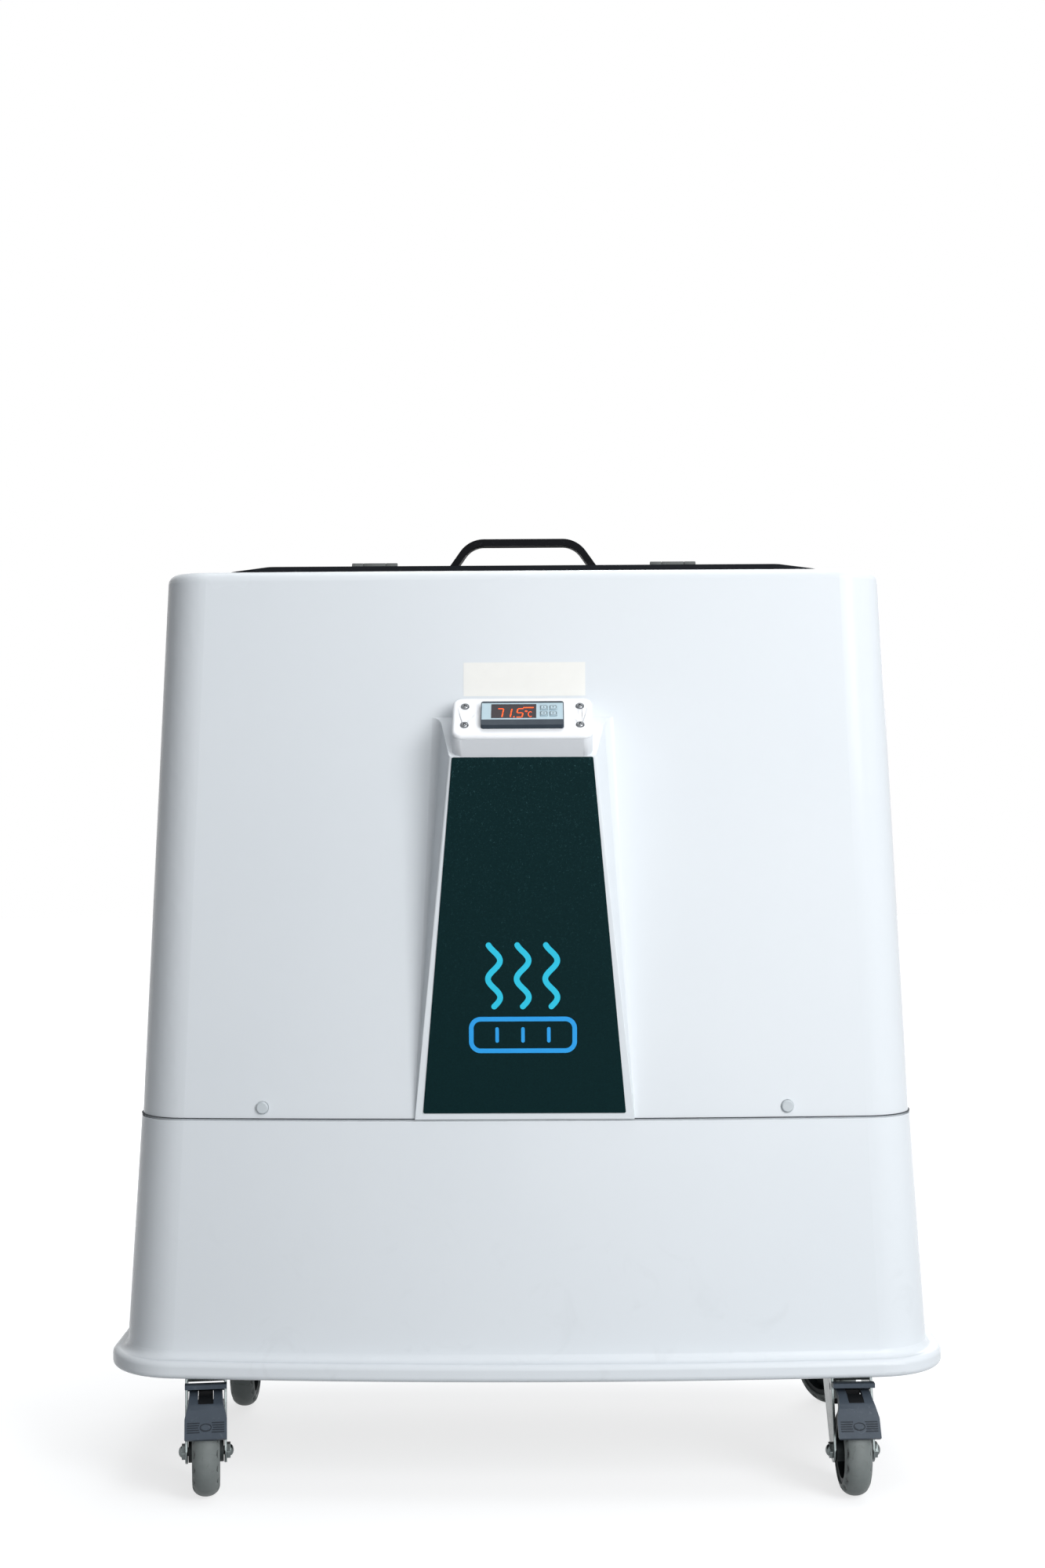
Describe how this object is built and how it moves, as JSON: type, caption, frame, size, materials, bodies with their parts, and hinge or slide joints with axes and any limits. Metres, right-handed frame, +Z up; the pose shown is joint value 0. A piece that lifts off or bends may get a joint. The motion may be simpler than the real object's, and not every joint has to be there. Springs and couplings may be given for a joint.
{
  "type": "hot pack heater",
  "caption": "Upright wheeled heater for hot packs: moulded housing with a sloping control box, folding lid, heated tank with a wire rack, drain valve and braked swivel casters.",
  "frame": {"origin": "on the floor under the middle of the housing", "axes": "+X to the right as seen from the front, +Y to the rear, +Z up; the control box faces -Y"},
  "size_m": [0.775, 0.4332, 0.8858],
  "materials": {
    "shell": "gelcoat, semi gloss",
    "cap": "semi gloss",
    "screw": "bright",
    "panel": "satin",
    "box": "semi gloss",
    "housing": "satin",
    "fascia": "satin film",
    "window": "gloss",
    "key": "satin",
    "tank_steel": "brushed",
    "gasket": "matte",
    "foam": "matte",
    "sheath": "dull",
    "wire": "polished",
    "lid": "satin",
    "handle": "satin",
    "hinge": "satin",
    "brass": "turned",
    "lever": "satin",
    "plate": "brushed",
    "switch_black": "satin",
    "chassis": "satin",
    "relay": "matte",
    "zinc": "zinc plated",
    "wheel_core": "satin",
    "tyre": "matte",
    "pedal": "satin"
  },
  "bodies": {
    "heater": {"lower_shell": "shell", "upper_shell": "shell", "seam_screw_caps": "cap", "pan_head_screws": "screw", "front_panel": "panel", "controller_case": "box", "controller_cover": "box", "thermostat_housing": "housing", "thermostat_fascia": "fascia", "display_window": "window", "tank": "tank_steel", "tank_gasket": "gasket", "insulation_boards": "foam", "tank_nuts": "tank_steel", "heating_element": "sheath", "element_guard": "tank_steel", "temperature_probe": "tank_steel", "limit_thermostat": "switch_black", "rack_dividers": "wire", "rack_hoops": "wire", "drain_pipe": "tank_steel", "drain_valve_body": "brass", "service_plate": "plate", "mains_inlet": "switch_black", "power_switch_frame": "switch_black", "chassis_plate": "chassis", "tank_posts": "chassis", "relay_box": "relay", "caster_stems": "zinc"},
    "rear_lid_leaf": {"lid_rear_leaf": "lid", "lid_hinge_rear_straps": "hinge", "lid_hinge_pins": "screw"},
    "front_lid_leaf": {"lid_front_leaf": "lid", "lid_handle": "handle", "lid_handle_screws": "screw", "lid_hinge_front_straps": "hinge"},
    "up_key": {"button_up": "key"},
    "set_key": {"button_set": "key"},
    "down_key": {"button_down": "key"},
    "power_key": {"button_power": "key"},
    "rocker": {"power_rocker": "switch_black"},
    "drain_handle": {"drain_lever": "lever"},
    "front_left_swivel": {"front_left_fork": "zinc", "front_left_axle": "zinc"},
    "front_left_roller": {"front_left_wheel": "wheel_core", "front_left_tyre": "tyre"},
    "front_right_swivel": {"front_right_fork": "zinc", "front_right_axle": "zinc"},
    "front_right_roller": {"front_right_wheel": "wheel_core", "front_right_tyre": "tyre"},
    "rear_left_swivel": {"rear_left_fork": "zinc", "rear_left_axle": "zinc"},
    "rear_left_roller": {"rear_left_wheel": "wheel_core", "rear_left_tyre": "tyre"},
    "rear_right_swivel": {"rear_right_fork": "zinc", "rear_right_axle": "zinc"},
    "rear_right_roller": {"rear_right_wheel": "wheel_core", "rear_right_tyre": "tyre"},
    "front_left_brake": {"front_left_brake_pedal": "pedal"},
    "front_right_brake": {"front_right_brake_pedal": "pedal"}
  },
  "joints": [
    {"name": "lid_lift", "type": "slide", "parent": "heater", "child": "rear_lid_leaf", "axis": [0, 0, 1], "range_m": [0, 0.08]},
    {"name": "lid_fold", "type": "hinge", "parent": "rear_lid_leaf", "child": "front_lid_leaf", "pos_m": [0, 0, 0.865], "axis": [-1, 0, 0], "range_deg": [0, 150]},
    {"name": "power_rocker_tilt", "type": "hinge", "parent": "heater", "child": "rocker", "pos_m": [-0.178, 0.179, 0.205], "axis": [-1, 0, 0], "range_deg": [0, 14]},
    {"name": "drain_quarter_turn", "type": "hinge", "parent": "heater", "child": "drain_handle", "pos_m": [0.15, 0.164, 0.222], "axis": [0, 0, -1], "range_deg": [0, 90]},
    {"name": "up_key_press", "type": "slide", "parent": "heater", "child": "up_key", "axis": [0, 0.6428, -0.766], "range_m": [0, 0.0005], "stiffness_N_per_m": 300, "springref_m": -0.0005},
    {"name": "set_key_press", "type": "slide", "parent": "heater", "child": "set_key", "axis": [0, 0.6428, -0.766], "range_m": [0, 0.0005], "stiffness_N_per_m": 300, "springref_m": -0.0005},
    {"name": "down_key_press", "type": "slide", "parent": "heater", "child": "down_key", "axis": [0, 0.6428, -0.766], "range_m": [0, 0.0005], "stiffness_N_per_m": 300, "springref_m": -0.0005},
    {"name": "power_key_press", "type": "slide", "parent": "heater", "child": "power_key", "axis": [0, 0.6428, -0.766], "range_m": [0, 0.0005], "stiffness_N_per_m": 300, "springref_m": -0.0005},
    {"name": "front_left_swivel_turn", "type": "hinge", "parent": "heater", "child": "front_left_swivel", "pos_m": [-0.297, -0.147, 0.1], "axis": [0, 0, 1], "continuous": true},
    {"name": "front_left_wheel_roll", "type": "hinge", "parent": "front_left_swivel", "child": "front_left_roller", "pos_m": [-0.29296, -0.17471, 0.04], "axis": [0.9895, 0.1444, 0], "continuous": true},
    {"name": "front_left_brake_press", "type": "hinge", "parent": "front_left_swivel", "child": "front_left_brake", "pos_m": [-0.29455, -0.16382, 0.095], "axis": [-0.9895, -0.1444, 0], "range_deg": [0, 14]},
    {"name": "front_right_swivel_turn", "type": "hinge", "parent": "heater", "child": "front_right_swivel", "pos_m": [0.297, -0.147, 0.1], "axis": [0, 0, 1], "continuous": true},
    {"name": "front_right_wheel_roll", "type": "hinge", "parent": "front_right_swivel", "child": "front_right_roller", "pos_m": [0.29798, -0.17498, 0.04], "axis": [0.9994, 0.0349, 0], "continuous": true},
    {"name": "front_right_brake_press", "type": "hinge", "parent": "front_right_swivel", "child": "front_right_brake", "pos_m": [0.29759, -0.16399, 0.095], "axis": [-0.9994, -0.0349, 0], "range_deg": [0, 14]},
    {"name": "rear_left_swivel_turn", "type": "hinge", "parent": "heater", "child": "rear_left_swivel", "pos_m": [-0.297, 0.147, 0.1], "axis": [0, 0, 1], "continuous": true},
    {"name": "rear_left_wheel_roll", "type": "hinge", "parent": "rear_left_swivel", "child": "rear_left_roller", "pos_m": [-0.297, 0.119, 0.04], "axis": [1, 0, 0], "continuous": true},
    {"name": "rear_right_swivel_turn", "type": "hinge", "parent": "heater", "child": "rear_right_swivel", "pos_m": [0.297, 0.147, 0.1], "axis": [0, 0, 1], "continuous": true},
    {"name": "rear_right_wheel_roll", "type": "hinge", "parent": "rear_right_swivel", "child": "rear_right_roller", "pos_m": [0.31266, 0.12379, 0.04], "axis": [0.829, 0.5592, 0], "continuous": true}
  ]
}
